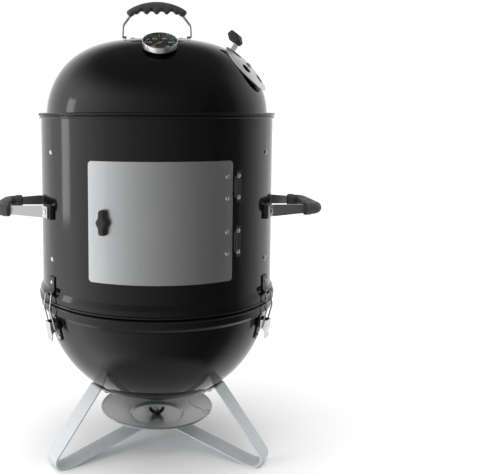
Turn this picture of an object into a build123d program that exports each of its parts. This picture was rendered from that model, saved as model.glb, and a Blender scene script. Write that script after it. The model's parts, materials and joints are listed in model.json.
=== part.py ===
"""Vertical water smoker: bowl on three legs, barrel with a door, domed lid.

Millimetres, +Z up, origin on the floor under the smoker's axis, door towards -Y.
An azimuth is an angle about Z from the front (-Y) towards +X.
"""
from build123d import *
import os
from math import acos, asin, atan2, cos, degrees, hypot, radians, sin, sqrt

# ---- driving dimensions -------------------------------------------------
SHEET = 2.0                  # enamelled steel sheet
GAP = 0.3                    # air between parts that move past each other
RUN = 0.05                   # radial play of a pin in its hole
M6_R = 3.0                   # bolt shank radius

BARREL_R = 230.0             # outside radius of the barrel
SEAM_Z = 324.0               # seam between bowl and barrel
BARREL_TOP_Z = 672.0         # top edge of the barrel wall
FLARE_R = 235.0              # outside radius of the flared seam
BEAD_R = 2.6                 # radius of the rolled edges

# shells as (radius, height, squareness, softness) of the meridian curve
LID_DOME = (219.0, 148.0, 3.2, 1.9)
BOWL_DOME = (225.0, 220.5, 2.1, 2.03)
LID_BASE_Z = 676.3
BOWL_TURN_Z = 297.0          # height at which the bowl wall turns into its rim
BOWL_FLAT_R = 62.0           # flat bottom with the air holes

DOOR_Z = (384.0, 597.0)
DOOR_HALF_WIDTH = 126.6
DOOR_R = 233.0               # outside radius of the door
DOOR_SHEET = 1.6
DOOR_CORNER = 6.0
OPENING_Z = (395.0, 586.0)
OPENING_HALF_WIDTH = 112.0
HINGE_AZIMUTH = 34.3
HINGE_R = 234.2
HINGE_Z = (452.5, 550.5)
RIVET_PITCH = 38.0
KNOB_AZIMUTH = -25.0
KNOB_Z = 491.0

TRIPOD = {"left": -60.0, "right": 60.0, "rear": 180.0}
UPPER_BOLT_Z = 608.0
MIDDLE_BOLT_Z = 408.0
GRATE_R = 214.0
LOWER_GRATE_R = 206.0
CHARCOAL_GRATE_R = 160.0
ROD_PITCH = 20.5

HANDLE_Z = 495.5
HANDLE_OUT = 312.0           # distance of the side grips from the axis
HANDLE_FOOT_ANGLE = 27.0     # from the side axis to the middle of a strap's foot
GRIP_R = 12.5

VENT_R = 186.5               # distance of the lid vent's centre from the axis
VENT_AZIMUTH = 66.0
VENT_TILT = 2.0              # vent's axis above the lid's own normal, in degrees
VENT_DISC_R = 54.5
VENT_SEAT_R = 51.0
VENT_DOME_R = 200.0
THERMO_R = 155.0
THERMO_CASE_R = 31.5

LEG_WIDTH = 40.0
LEG_THICK = 3.0
FOOT_R = 220.0
FOOT_BEND_R = 16.0
FOOT_FLAT = 14.0             # length of a foot's flat on the floor
LEG_PAD_R = 124.0
LEG_STACK_Z = 43.0           # underside of the lowest leg end on the axis
PAN_RIM = (114.0, 74.0)

LEVER_PIVOT = (232.0, 286.0)
BAIL_DROP = 10.0             # bail pivot below the lever pivot
BAIL_HALF_WIDTH = 12.9
BAIL_WIRE_R = 1.5

# ---- frames and small helpers -------------------------------------------
RADIAL = Plane(origin=(0, 0, 0), x_dir=(0, -1, 0), z_dir=(-1, 0, 0))


def turned(shape, azimuth):
    """A shape made at the front, turned about Z to an azimuth."""
    return shape.rotate(Axis.Z, azimuth)


def at_all(shape, azimuths):
    """Copies of a front shape at several azimuths, kept as separate solids."""
    return Compound(children=[turned(shape, azimuth) for azimuth in azimuths])


def group(solids):
    return Compound(children=list(solids))


def polygon(points):
    return make_face(Polyline(*points, close=True))


def spun(face):
    """Full turn of a profile drawn as (distance from the axis, height)."""
    return revolve(RADIAL * face, axis=Axis.Z)


def ring_sector(r_in, r_out, azimuth_from, azimuth_to, z_from, z_to):
    """Piece of a tube wall between two azimuths."""
    face = polygon([(r_in, z_from), (r_out, z_from), (r_out, z_to), (r_in, z_to)])
    span = azimuth_to - azimuth_from
    return turned(revolve(RADIAL * face, axis=Axis.Z, revolution_arc=span), azimuth_from)


def radial_plate(points, width):
    """Plate with a (radius, height) outline, centred on the front azimuth."""
    return extrude(RADIAL * polygon(points), amount=width / 2, both=True)


def strip_face(path, thickness):
    """Face of even thickness whose middle line is a planar wire."""
    one, other = [path.offset_2d(thickness / 2, side=side, closed=False) for side in (Side.LEFT, Side.RIGHT)]
    if (one.position_at(0) - other.position_at(0)).length > 1.5 * thickness:
        ends = [Line(one @ 0, other @ 1), Line(one @ 1, other @ 0)]
    else:
        ends = [Line(one @ 0, other @ 0), Line(one @ 1, other @ 1)]
    return make_face([*one.edges(), *other.edges(), *ends])


def bent_strip(path, thickness, width):
    """Sheet strip of a width whose middle follows a planar wire in the radial plane."""
    return extrude(RADIAL * strip_face(path, thickness), amount=width / 2, both=True)


def outward_frame(azimuth, radius, z, elevation=0.0):
    """Frame on a surface: x runs downhill or down, z is the outward normal."""
    a = radians(azimuth)
    e = radians(elevation)
    normal = (sin(a) * cos(e), -cos(a) * cos(e), sin(e))
    downhill = (sin(a) * sin(e), -cos(a) * sin(e), -cos(e))
    origin = (radius * sin(a), -radius * cos(a), z)
    return Plane(origin=origin, x_dir=downhill, z_dir=normal)


def rod(start, end, radius):
    """Round rod between two points."""
    line = Line(start, end)
    return sweep(Plane(origin=start, z_dir=line % 0) * Circle(radius), path=line)


def bent_wire(points, bend, radius):
    """Round wire through points with the same bend radius at each corner."""
    path = FilletPolyline(*points, radius=bend)
    return sweep(Plane(origin=path @ 0, z_dir=path % 0) * Circle(radius), path=path)


def disc(radius, z_from, z_to, hole=0.0):
    """Flat round plate on the local z axis."""
    plate = extrude(Plane.XY.offset(z_from) * Circle(radius), amount=z_to - z_from)
    if hole:
        plate -= extrude(Plane.XY.offset(z_from - 1) * Circle(hole), amount=z_to - z_from + 2)
    return plate


def domed_bolt(head_r, head_h, shank_r, length, tail_r=0.0, tail_h=0.0):
    """Domed bolt or rivet: head on local z = 0, shank going down, tail head if tail_r is set."""
    sphere_r = (head_r**2 + head_h**2) / (2 * head_h)
    half_angle = asin(head_r / sphere_r) / 2
    crown = (sphere_r * sin(half_angle), head_h - sphere_r * (1 - cos(half_angle)))
    dome = ThreePointArc((head_r, 0), crown, (0, head_h))
    outline = [(0, head_h), (0, -length)]
    if tail_r:
        outline += [(tail_r, -length), (tail_r, tail_h - length), (shank_r, tail_h - length)]
    else:
        outline += [(shank_r, -length)]
    outline += [(shank_r, 0), (head_r, 0)]
    return spun(make_face([*dome.edges(), *Polyline(*outline).edges()]))


def hex_nut(z_top):
    """M6 nut on the local z axis."""
    nut = extrude(Plane.XY.offset(z_top - 5) * RegularPolygon(5.0, 6, major_radius=False), amount=5)
    return nut - disc(M6_R, z_top - 6, z_top + 1)


# ---- shell curves --------------------------------------------------------
def dome_height(dome, r):
    radius, height, squareness, softness = dome
    return height * (1 - (r / radius) ** squareness) ** (1 / softness)


def dome_slope(dome, r):
    """Angle in degrees between the surface and the horizontal."""
    step = 0.05
    rise = dome_height(dome, r - step) - dome_height(dome, r + step)
    return degrees(atan2(rise, 2 * step))


def dome_radius(dome, height):
    """Radius at which the shell has a height above its rim plane."""
    radius, crown, squareness, softness = dome
    return radius * (1 - (height / crown) ** softness) ** (1 / squareness)


def thinner(dome):
    return (dome[0] - SHEET, dome[1] - SHEET, dome[2], dome[3])


def dome_edge(dome, r_from, r_to, count=12):
    """Meridian curve between two radii as (radius, height above the rim plane)."""
    radius, _, squareness, _ = dome
    turn_from = (min(r_from / radius, 1)) ** (squareness / 2)
    turn_to = (min(r_to / radius, 1)) ** (squareness / 2)
    points = []
    for step in range(count + 1):
        turn = turn_from + (turn_to - turn_from) * sin(radians(90 * step / count))
        r = radius * turn ** (2 / squareness)
        points.append((r, dome_height(dome, min(r, radius))))
    return Spline(*points)


def dome_solid(dome):
    """Solid dome standing on its rim plane at local z = 0."""
    edge = dome_edge(dome, 0, dome[0])
    sides = Polyline((dome[0], 0), (0, 0), (0, dome[1]))
    return spun(make_face(edge + sides))


def lid_surface_z(r):
    return LID_BASE_Z + dome_height(LID_DOME, r)


def bowl_surface_z(r):
    return SEAM_Z - dome_height(BOWL_DOME, r)


def bowl_surface_r(z):
    return dome_radius(BOWL_DOME, SEAM_Z - z)


VENT = outward_frame(VENT_AZIMUTH, VENT_R, lid_surface_z(VENT_R), 90 + VENT_TILT - dome_slope(LID_DOME, VENT_R))
THERMO = outward_frame(0, THERMO_R, lid_surface_z(THERMO_R), 90 - dome_slope(LID_DOME, THERMO_R))
VENT_HOLE_R = 10.0
VENT_HOLE_PITCH_R = 31.0
VENT_HOLE_ANGLES = (14.0, 104.0, 194.0, 284.0)
HANDLE_BOLT_X = 48.0
THERMO_STEM_R = 4.0


# ---- lid -----------------------------------------------------------------
def cap(radius, sphere_r, top, bottom):
    """Cylinder with a spherical top, its crown at local z = top."""
    post = extrude(Plane.XY.offset(bottom) * Circle(radius), amount=top - bottom)
    return post & (Pos(0, 0, top - sphere_r) * Sphere(sphere_r))


def vent_holes():
    """Four round holes through the vent seat and its damper."""
    hole = Pos(VENT_HOLE_PITCH_R, 0, 0) * disc(VENT_HOLE_R, -40, 20)
    return [Rot(0, 0, angle) * hole for angle in VENT_HOLE_ANGLES]


LID_RIM_Z = 692.0


def stacked(shell, heights):
    """A tall shell as solids that meet face to face at the given heights."""
    levels = [0.0, *heights, 1000.0]
    return group([shell & disc(300, low, high) for low, high in zip(levels, levels[1:])])


def lid_shell():
    """Dome with a pressed seat for the vent, a flange with a rolled edge and a spigot."""
    outer = Pos(0, 0, LID_BASE_Z) * dome_solid(LID_DOME)
    inner = Pos(0, 0, LID_BASE_Z) * dome_solid(thinner(LID_DOME))
    seat = VENT.location * cap(VENT_SEAT_R, VENT_DOME_R, 1.5, -30)
    under_seat = VENT.location * cap(VENT_SEAT_R - SHEET, VENT_DOME_R - SHEET, 1.5 - SHEET, -32)
    shell = outer + seat - under_seat - inner
    flange = polygon([(216.9, 675.4), (232.6, 675.4), (232.6, 677.4), (216.9, 677.4)])
    spigot = polygon([(222.6, 663), (224.6, 663), (224.6, 676), (222.6, 676)])
    shell += spun(flange + Pos(232.4, 678.3) * Circle(BEAD_R) + spigot)
    for hole in vent_holes():
        shell -= VENT.location * hole
    shell -= VENT.location * disc(M6_R, -10, 5)
    shell -= THERMO.location * disc(THERMO_STEM_R, -10, 5)
    for x in (-HANDLE_BOLT_X, HANDLE_BOLT_X):
        shell -= Pos(x, 0, 800) * disc(M6_R, 0, 40)
    return stacked(shell, [LID_RIM_Z])


PLATE_Z = LID_BASE_Z + LID_DOME[1] + 0.2


def lid_handle_plate():
    plate = extrude(Plane.XY.offset(PLATE_Z) * SlotOverall(124, 30), amount=3)
    for x in (-HANDLE_BOLT_X, HANDLE_BOLT_X):
        plate -= Pos(x, 0, PLATE_Z) * disc(M6_R, -1, 5)
    return plate


def lid_handle_wire_points():
    low = PLATE_Z + 3.1
    half = [(-60, 0, low + 2.5), (-68, 0, low + 4), (-67, 0, low + 26), (-44, 0, low + 56)]
    return half + [(-x, y, z) for x, y, z in reversed(half)]


def lid_handle_wire():
    points = lid_handle_wire_points()
    path = FilletPolyline(*points, radius=[2.5, 16, 16, 16, 16, 2.5])
    return sweep(Plane(origin=path @ 0, z_dir=path % 0) * Circle(2.5), path=path)


def lid_handle_grip():
    """Moulded grip with a crowned top and four finger hollows underneath."""
    top = ThreePointArc((-59.7, 880), (0, 900), (59.7, 880))
    ends = Polyline((59.7, 880), (58.5, 872), (52, 870.5), (40, 876))
    outline = [top, ends]
    pitch = 20.0
    for step in range(4):
        x = 40 - pitch * step
        outline.append(ThreePointArc((x, 876), (x - pitch / 2, 882.5), (x - pitch, 876)))
    outline.append(Polyline((-40, 876), (-52, 870.5), (-58.5, 872), (-59.7, 880)))
    face = make_face([edge for line in outline for edge in line.edges()])
    body = extrude(Plane.XZ * face, amount=13, both=True)
    section = Plane.YZ.offset(-70) * (Pos(0, 884) * RectangleRounded(26, 32, 9))
    body &= extrude(section, amount=140)
    return body - lid_handle_wire()


def lid_handle_bolts():
    """Two bolts through the plate and the lid, each with its nut."""
    fasteners = []
    for x in (-HANDLE_BOLT_X, HANDLE_BOLT_X):
        fasteners.append(Pos(x, 0, PLATE_Z + 3) * domed_bolt(6, 3.2, M6_R, 14))
        fasteners.append(Pos(x, 0, 0) * hex_nut(lid_surface_z(HANDLE_BOLT_X + 7) - SHEET - 0.2))
    return group(fasteners)


# ---- thermometer (local z = 0 on the lid surface) ------------------------
CASE_BACK = 4.0
CASE_FRONT = 14.0


def thermometer_case():
    cup = disc(THERMO_CASE_R, CASE_BACK, CASE_FRONT, THERMO_STEM_R)
    cup -= disc(THERMO_CASE_R - 2, CASE_BACK + 1.5, CASE_FRONT + 1)
    cup += disc(9, 0.5, CASE_BACK + 0.1, THERMO_STEM_R)
    rim = cup.edges().filter_by(GeomType.CIRCLE).group_by(Axis.Z)[-1]
    cup = fillet(rim.sort_by(SortBy.RADIUS)[-1], 1.2)
    return THERMO.location * cup


def thermometer_dial():
    return THERMO.location * disc(THERMO_CASE_R - 2.1, 7.0, 8.0, 1.0)


def thermometer_glass():
    return THERMO.location * disc(THERMO_CASE_R - 2.1, 11.8, 13.2)


def thermometer_stem():
    stem = disc(THERMO_STEM_R, -62, CASE_BACK + 1.5) + disc(1.0, CASE_BACK + 1, 10.6)
    return THERMO.location * stem


def thermometer_nut():
    nut = extrude(Plane.XY.offset(-9) * RegularPolygon(8, 6, major_radius=False), amount=5)
    return THERMO.location * (nut - disc(THERMO_STEM_R, -10, -3))


def thermometer_needle():
    hub = disc(2.4, 8.6, 9.8)
    blade = extrude(Plane.XY.offset(8.9) * Polygon((-7, -0.9), (22, -0.3), (22, 0.3), (-7, 0.9), align=None), amount=0.6)
    needle = Rot(0, 0, -50) * (hub + blade)
    return THERMO.location * (needle - disc(1.0 + RUN, 8, 11))


# ---- lid vent ------------------------------------------------------------
VENT_TAB_TURN = -25.0        # tab's place on the disc, from its uphill point


def lid_vent_tab():
    path = FilletPolyline((-47, -2.9), (-55.5, -4.8), (-61, 11), radius=2.5)
    strip = extrude(Plane.XZ * strip_face(path, 1.5), amount=7, both=True)
    return Rot(0, 0, VENT_TAB_TURN) * strip


def lid_vent_damper():
    """Domed disc with four holes and a tab bent up near its uphill edge."""
    top = cap(VENT_DISC_R, VENT_DOME_R + GAP + 1.5, 1.5 + GAP + 1.5, -30)
    below = cap(VENT_DISC_R + 1, VENT_DOME_R + GAP, 1.5 + GAP, -32)
    plate = top - below
    for hole in vent_holes():
        plate -= hole
    plate -= disc(M6_R + RUN, -5, 8)
    return VENT.location * (plate + lid_vent_tab())


def lid_vent_knob():
    """Six-sided knob pushed over the tab, widest at its middle."""
    outline = Polygon((-16, 6), (-17, -5), (-2, -10), (16, -4), (16, 4), (2, 10), align=None)
    block = extrude(Plane.XZ * outline, amount=9, both=True)
    block = chamfer(block.faces().sort_by(Axis.Y)[0].edges() + block.faces().sort_by(Axis.Y)[-1].edges(), 3)
    return VENT.location * (Rot(0, 0, VENT_TAB_TURN) * (Pos(-72, 0, 13) * block) - lid_vent_tab())


def lid_vent_rivet():
    return VENT.location * (Pos(0, 0, 3.6) * domed_bolt(8, 3, M6_R, 6.6, 6, 2.4))


# ---- barrel --------------------------------------------------------------
def barrel_profile():
    wall = polygon([(228, 345), (BARREL_R, 345), (BARREL_R, BARREL_TOP_Z), (228, BARREL_TOP_Z)])
    flare = polygon([(BARREL_R, 348), (FLARE_R, 338), (FLARE_R, 326), (233, 326), (233, 337.4), (228, 347.4)])
    return wall + flare + Pos(231.2, BARREL_TOP_Z + 0.4) * Circle(BEAD_R) + Pos(FLARE_R - 0.2, 326.8) * Circle(2.4)


def barrel_bolt_places():
    """(azimuth, height) of the domed bolts that hold the grate brackets."""
    return [(azimuth, z) for azimuth in TRIPOD.values() for z in (UPPER_BOLT_Z, MIDDLE_BOLT_Z)]


def handle_bolt_places():
    angles = [side + turn for side in (90, -90) for turn in (-HANDLE_FOOT_ANGLE, HANDLE_FOOT_ANGLE)]
    return [(angle, HANDLE_Z) for angle in angles]


def hinge_rivet_heights():
    return [z + half for z in HINGE_Z for half in (-RIVET_PITCH / 2, RIVET_PITCH / 2)]


DOOR_RIVET_AZIMUTH = 30.0
BARREL_RIVET_AZIMUTH = 36.9
KEEPER_RIVET_Z = 364.0


def barrel_shell():
    shell = spun(barrel_profile())
    low, high = OPENING_Z
    opening = Plane.XZ * (Pos(0, (low + high) / 2) * RectangleRounded(2 * OPENING_HALF_WIDTH, high - low, 12))
    shell -= extrude(opening, amount=300)
    for azimuth, z in barrel_bolt_places() + handle_bolt_places():
        shell -= outward_frame(azimuth, BARREL_R, z).location * disc(M6_R, -10, 10)
    for z in hinge_rivet_heights():
        shell -= outward_frame(BARREL_RIVET_AZIMUTH, BARREL_R, z).location * disc(2, -10, 10)
    for azimuth in TRIPOD.values():
        shell -= outward_frame(azimuth, BARREL_R, KEEPER_RIVET_Z).location * disc(2, -10, 10)
    return stacked(shell, [OPENING_Z[0] - 12, OPENING_Z[1] + 8])


def grate_brackets():
    """Angle brackets bolted inside the barrel at two heights; their shelves carry the grates."""
    brackets = []
    for bolt_z in (UPPER_BOLT_Z, MIDDLE_BOLT_Z):
        back = ring_sector(225.8, 227.9, -3.6, 3.6, bolt_z - 14, bolt_z + 10)
        shelf = ring_sector(205, 226, -3.6, 3.6, bolt_z + 8, bolt_z + 10)
        hole = outward_frame(0, BARREL_R, bolt_z).location * disc(M6_R, -10, 10)
        brackets += [turned(back + shelf - hole, azimuth) for azimuth in TRIPOD.values()]
    return group(brackets)


def barrel_bolts():
    bolts = []
    for azimuth, z in barrel_bolt_places():
        bolts.append(outward_frame(azimuth, BARREL_R + 0.1, z).location * domed_bolt(5, 3, M6_R, 11))
    for azimuth, z in handle_bolt_places():
        bolts.append(outward_frame(azimuth, STRAP_FACE_R + 0.1, z).location * domed_bolt(6, 3.4, M6_R, 19))
    return group(bolts)


def hex_nuts():
    """Equal nuts on the bolts of the brackets, side handles and legs."""
    nuts = []
    for azimuth, z in barrel_bolt_places():
        nuts.append(outward_frame(azimuth, BARREL_R, z).location * hex_nut(-4.5))
    for azimuth, z in handle_bolt_places():
        nuts.append(outward_frame(azimuth, BARREL_R, z).location * hex_nut(-2.4))
    for azimuth in TRIPOD.values():
        for side in (-11, 11):
            nuts.append(turned(leg_pad_frame().location * (Pos(0, side, 0) * hex_nut(-2.7)), azimuth))
    return group(nuts)


# ---- door ----------------------------------------------------------------
def door_panel():
    low, high = DOOR_Z
    sheet = disc(DOOR_R, low, high) - disc(DOOR_R - DOOR_SHEET, low - 1, high + 1)
    outline = Pos(0, (low + high) / 2) * RectangleRounded(2 * DOOR_HALF_WIDTH, high - low, DOOR_CORNER)
    panel = sheet & extrude(Plane.XZ * outline, amount=300)
    panel -= outward_frame(KNOB_AZIMUTH, DOOR_R, KNOB_Z).location * disc(M6_R + RUN, -10, 10)
    for z in hinge_rivet_heights():
        panel -= outward_frame(DOOR_RIVET_AZIMUTH, DOOR_R, z).location * disc(2, -10, 10)
    return panel


PIN_R = 1.6
KNUCKLE_R = 3.0
LEAF_HALF_HEIGHT = 28.0


def hinge_axis(z):
    return outward_frame(HINGE_AZIMUTH, HINGE_R, z).origin


def knuckle(z_from, z_to, hole_r):
    x, y, _ = hinge_axis(0)
    return Pos(x, y, 0) * disc(KNUCKLE_R, z_from, z_to, hole_r)


def knuckle_bore(z, hole_r):
    x, y, _ = hinge_axis(0)
    return Pos(x, y, 0) * disc(hole_r, z - 40, z + 40)


def door_hinge_leaves():
    """Leaves riveted behind the door's edge, each with one middle knuckle."""
    leaves = []
    for z in HINGE_Z:
        leaf = ring_sector(230.2, 231.35, 27.6, 33.0, z - LEAF_HALF_HEIGHT, z + LEAF_HALF_HEIGHT)
        leaf += ring_sector(230.2, 231.35, 32.9, HINGE_AZIMUTH, z - 9, z + 9)
        leaf += knuckle(z - 9, z + 9, 0)
        for half in (-RIVET_PITCH / 2, RIVET_PITCH / 2):
            leaf -= outward_frame(DOOR_RIVET_AZIMUTH, DOOR_R, z + half).location * disc(2, -10, 10)
        leaves.append(leaf - knuckle_bore(z, PIN_R + RUN))
    return group(leaves)


def barrel_hinge_leaves():
    """Leaves riveted on the barrel, each with a knuckle above and below the door's."""
    leaves = []
    for z in HINGE_Z:
        leaf = ring_sector(230.1, 231.35, 35.4, 38.6, z - LEAF_HALF_HEIGHT, z + LEAF_HALF_HEIGHT)
        for low, high in ((z - 18, z - 9 - GAP), (z + 9 + GAP, z + 18)):
            leaf += ring_sector(230.1, 231.35, HINGE_AZIMUTH, 35.5, low, high)
            leaf += knuckle(low, high, 0)
        for half in (-RIVET_PITCH / 2, RIVET_PITCH / 2):
            leaf -= outward_frame(BARREL_RIVET_AZIMUTH, BARREL_R, z + half).location * disc(2, -10, 10)
        leaves.append(leaf - knuckle_bore(z, PIN_R))
    return group(leaves)


def hinge_pins():
    pins = []
    x, y, _ = hinge_axis(0)
    for z in HINGE_Z:
        pin = disc(PIN_R, z - 18.5, z + 18.5) + disc(2.6, z + 18.1, z + 19.6)
        pins.append(Pos(x, y, 0) * pin)
    return group(pins)


def door_rivets():
    rivet = domed_bolt(4.2, 2.4, 2, 2.7)
    return group(outward_frame(DOOR_RIVET_AZIMUTH, DOOR_R + 0.05, z).location * rivet for z in hinge_rivet_heights())


def barrel_rivets():
    rivet = domed_bolt(4.2, 2.4, 2, 5.4, 3.6, 1.6)
    place = [outward_frame(BARREL_RIVET_AZIMUTH, 231.45, z) for z in hinge_rivet_heights()]
    return group(frame.location * rivet for frame in place)


def door_knob():
    """Round knob with a tall wing, standing upright when the door is free to open."""
    body = disc(11, GAP, 10)
    wing = extrude(Plane.XY.offset(3) * RectangleRounded(44, 13, 5), amount=11)
    knob = body + wing
    knob = fillet(knob.faces().sort_by(Axis.Z)[-1].edges(), 2)
    return outward_frame(KNOB_AZIMUTH, DOOR_R, KNOB_Z).location * (knob - disc(M6_R, -1, 9))


def door_latch_tongue():
    """Spindle through the door with a tongue that turns in behind the barrel's edge."""
    spindle = disc(M6_R, -9.5, 9)
    tongue = extrude(Plane.XY.offset(-9.5) * (Pos(9, 0) * SlotOverall(32, 12)), amount=2)
    return outward_frame(KNOB_AZIMUTH, DOOR_R, KNOB_Z).location * (spindle + tongue)


# ---- side handles (made for +X, then mirrored) ----------------------------
PAD_FACE_R = 236.0
STRAP_THICK = 3.0
STRAP_FACE_R = PAD_FACE_R + 0.2 + STRAP_THICK


def strap_path():
    """Middle line of the strap in plan."""
    a = radians(HANDLE_FOOT_ANGLE)
    middle_r = PAD_FACE_R + 0.2 + STRAP_THICK / 2
    foot = Vector(middle_r * cos(a), middle_r * sin(a))
    along = Vector(-sin(a), cos(a))
    half = [foot + along * 11, foot - along * 11, Vector(HANDLE_OUT, 66)]
    points = [(p.X, p.Y) for p in half]
    return points + [(x, -y) for x, y in reversed(points)]


def side_strap():
    path = FilletPolyline(*strap_path(), radius=[4, 20, 20, 4])
    band = extrude(Plane.XY.offset(HANDLE_Z - 11) * strip_face(path, STRAP_THICK), amount=22)
    low = HANDLE_Z - 11
    high = HANDLE_Z + 11
    taper = [(200, low), (225, low), (302, low + 3.5), (330, low + 3.5)]
    taper += [(330, high - 3.5), (302, high - 3.5), (225, high), (200, high)]
    band &= extrude(Plane.XZ * polygon(taper), amount=150, both=True)
    for side_angle in (-HANDLE_FOOT_ANGLE, HANDLE_FOOT_ANGLE):
        band -= outward_frame(90 + side_angle, STRAP_FACE_R, HANDLE_Z).location * disc(M6_R, -10, 10)
    return band


def side_grip():
    points = [(284, 74.9), (HANDLE_OUT, 66), (HANDLE_OUT, -66), (284, -74.9)]
    path = FilletPolyline(*[(x, y, HANDLE_Z) for x, y in points], radius=20)
    section = Plane(origin=path @ 0, z_dir=path % 0) * Circle(GRIP_R)
    return sweep(section, path=path) - side_strap()


def handle_pads():
    """Heat-proof spacers between the strap feet and the barrel."""
    half = 4.2
    pads = []
    for azimuth, z in handle_bolt_places():
        pad = ring_sector(230.1, PAD_FACE_R, -half, half, z - 13, z + 13)
        pad -= outward_frame(0, BARREL_R, z).location * disc(M6_R, -10, 10)
        pads.append(turned(pad, azimuth))
    return group(pads)


def mirrored(shape):
    return mirror(shape, about=Plane.YZ)


# ---- grates and water pan --------------------------------------------------
LOOP_WIRE_R = 2.2


def outer_rod(ring_r):
    """Number of rods on each side of the middle one."""
    return int((ring_r - 6) / ROD_PITCH)


def grate_loops(ring_r, foot_z):
    """Wire loops to lift a grate by, one above each of its outermost rods."""
    loops = []
    for side in (-1, 1):
        foot = outer_rod(ring_r) * ROD_PITCH
        top = ring_r - 4
        corners = [(foot, -44, foot_z), (top, -30, 27), (top, 30, 27), (foot, 44, foot_z)]
        corners = [(side * x, y, z) for x, y, z in corners]
        loops.append(bent_wire(corners, 12, LOOP_WIRE_R))
    return loops


def grate(ring_r, ring_wire, rod_wire):
    """Wire grate: ring and two cross bars below, parallel rods welded on top."""
    parts = []
    rod_z = ring_wire + rod_wire - 0.9
    count = outer_rod(ring_r)
    for step in range(-count, count + 1):
        x = step * ROD_PITCH
        half = sqrt(ring_r ** 2 - x ** 2) + 1
        parts.append(rod((x, -half, rod_z), (x, half, rod_z), rod_wire))
    for y in (-ring_r * 0.45, ring_r * 0.45):
        half = sqrt(ring_r ** 2 - y ** 2)
        parts.append(rod((-half, y, 0), (half, y, 0), ring_wire))
    return Torus(ring_r, ring_wire).fuse(*parts)


def water_pan(z):
    """Round pan with sloping sides and a turned rim."""
    outside = [(0, 0), (134, 0), (143, 36), (148, 36), (148, 38), (141.5, 38), (132.5, 2), (0, 2)]
    return Pos(0, 0, z) * spun(polygon(outside))


# ---- bowl ------------------------------------------------------------------
def bowl_profile():
    """Wall, flat bottom and rim of the bowl as (radius, height)."""
    outer = [BOWL_FLAT_R, bowl_surface_r(BOWL_TURN_Z)]
    edge_out = dome_edge(BOWL_DOME, *outer)
    inner_dome = thinner(BOWL_DOME)
    inner = [BOWL_FLAT_R, dome_radius(inner_dome, SEAM_Z - BOWL_TURN_Z)]
    edge_in = dome_edge(inner_dome, *inner)
    ends = Line(edge_out @ 0, edge_in @ 0) + Line(edge_out @ 1, edge_in @ 1)
    wall = Pos(0, SEAM_Z) * mirror(make_face(edge_out + edge_in + ends), about=Plane.XZ)
    floor_z = bowl_surface_z(BOWL_FLAT_R)
    floor = polygon([(0, floor_z), (BOWL_FLAT_R + 1.5, floor_z), (BOWL_FLAT_R + 0.5, floor_z + 2.1), (0, floor_z + 2)])
    turn_r = bowl_surface_r(BOWL_TURN_Z)
    rim = [(turn_r, 296.5), (231, 300.5), (234.4, 306), (234.4, 322), (227, 322), (227, 336), (225, 336)]
    rim += [(225, 320), (232.4, 320), (232.4, 307), (229.8, 302.4), (turn_r - 2.2, 298)]
    return wall + floor + polygon(rim) + Pos(234.2, 319.4) * Circle(2.4)


def leg_pad_frame():
    """Frame on the bowl where a leg is bolted: x downhill, z outward."""
    slope = degrees(atan2(bowl_surface_z(LEG_PAD_R + 0.1) - bowl_surface_z(LEG_PAD_R - 0.1), 0.2))
    return outward_frame(0, LEG_PAD_R, bowl_surface_z(LEG_PAD_R), slope - 90)


BASE_BOLT_Z = 258.0
AIR_HOLE_R = 14.0
AIR_HOLE_PITCH_R = 36.0


def air_holes():
    hole = Pos(0, -AIR_HOLE_PITCH_R, 90) * disc(AIR_HOLE_R, 0, 40)
    return [turned(hole, angle) for angle in (0, 120, 240)]


def base_frame():
    """Frame on the bowl where a latch base sits: x down the slope, z outward."""
    lean = degrees(atan2(bowl_surface_r(BASE_BOLT_Z + 16) - bowl_surface_r(BASE_BOLT_Z), 16))
    return outward_frame(0, bowl_surface_r(BASE_BOLT_Z), BASE_BOLT_Z, -lean)


BOWL_SPLIT_Z = 196.0


def bowl_shell():
    """One pressing, written as a floor, a dish and a wall that meet face to face."""
    shell = spun(bowl_profile())
    for hole in air_holes():
        shell -= hole
    shell -= Pos(0, 0, 90) * disc(M6_R, 0, 40)
    for azimuth in TRIPOD.values():
        for side in (-11, 11):
            shell -= turned(leg_pad_frame().location * (Pos(0, side, 0) * disc(M6_R, -12, 12)), azimuth)
        shell -= turned(base_frame().location * disc(2.5, -12, 12), azimuth)
    core = disc(BOWL_FLAT_R, 0, 400)
    return group([shell & core, (shell - core) & disc(300, 0, BOWL_SPLIT_Z), shell & disc(300, BOWL_SPLIT_Z, 400)])


CHARCOAL_Z = 190.0
LOWER_SHELF_Z = 305.0


def bowl_brackets():
    """Three straps for the lower grate and three welded shelves for the charcoal grate."""
    inset = SHEET + 1.6
    low = (bowl_surface_r(248) - inset, 248)
    high = (bowl_surface_r(294) - inset, 294)
    path = FilletPolyline(low, high, (high[0] + 1.5, LOWER_SHELF_Z - 1), (194, LOWER_SHELF_Z - 1), radius=2.5)
    strap = bent_strip(path, 2, 24)
    strap -= base_frame().location * disc(2.5, -14, 12)
    edge = bowl_surface_r(CHARCOAL_Z - 10) - SHEET - 1
    foot = bowl_surface_r(CHARCOAL_Z - 34) - SHEET - 1.6
    corners = [(150, CHARCOAL_Z - 2), (edge, CHARCOAL_Z - 2), (foot, CHARCOAL_Z - 34), (foot - 3, CHARCOAL_Z - 34)]
    corners += [(edge - 6, CHARCOAL_Z - 5), (150, CHARCOAL_Z - 5)]
    shelf = radial_plate(corners, 20)
    straps = [turned(strap, azimuth) for azimuth in TRIPOD.values()]
    shelves = [turned(shelf, azimuth + 60) for azimuth in TRIPOD.values()]
    return group(straps + shelves)


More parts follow.
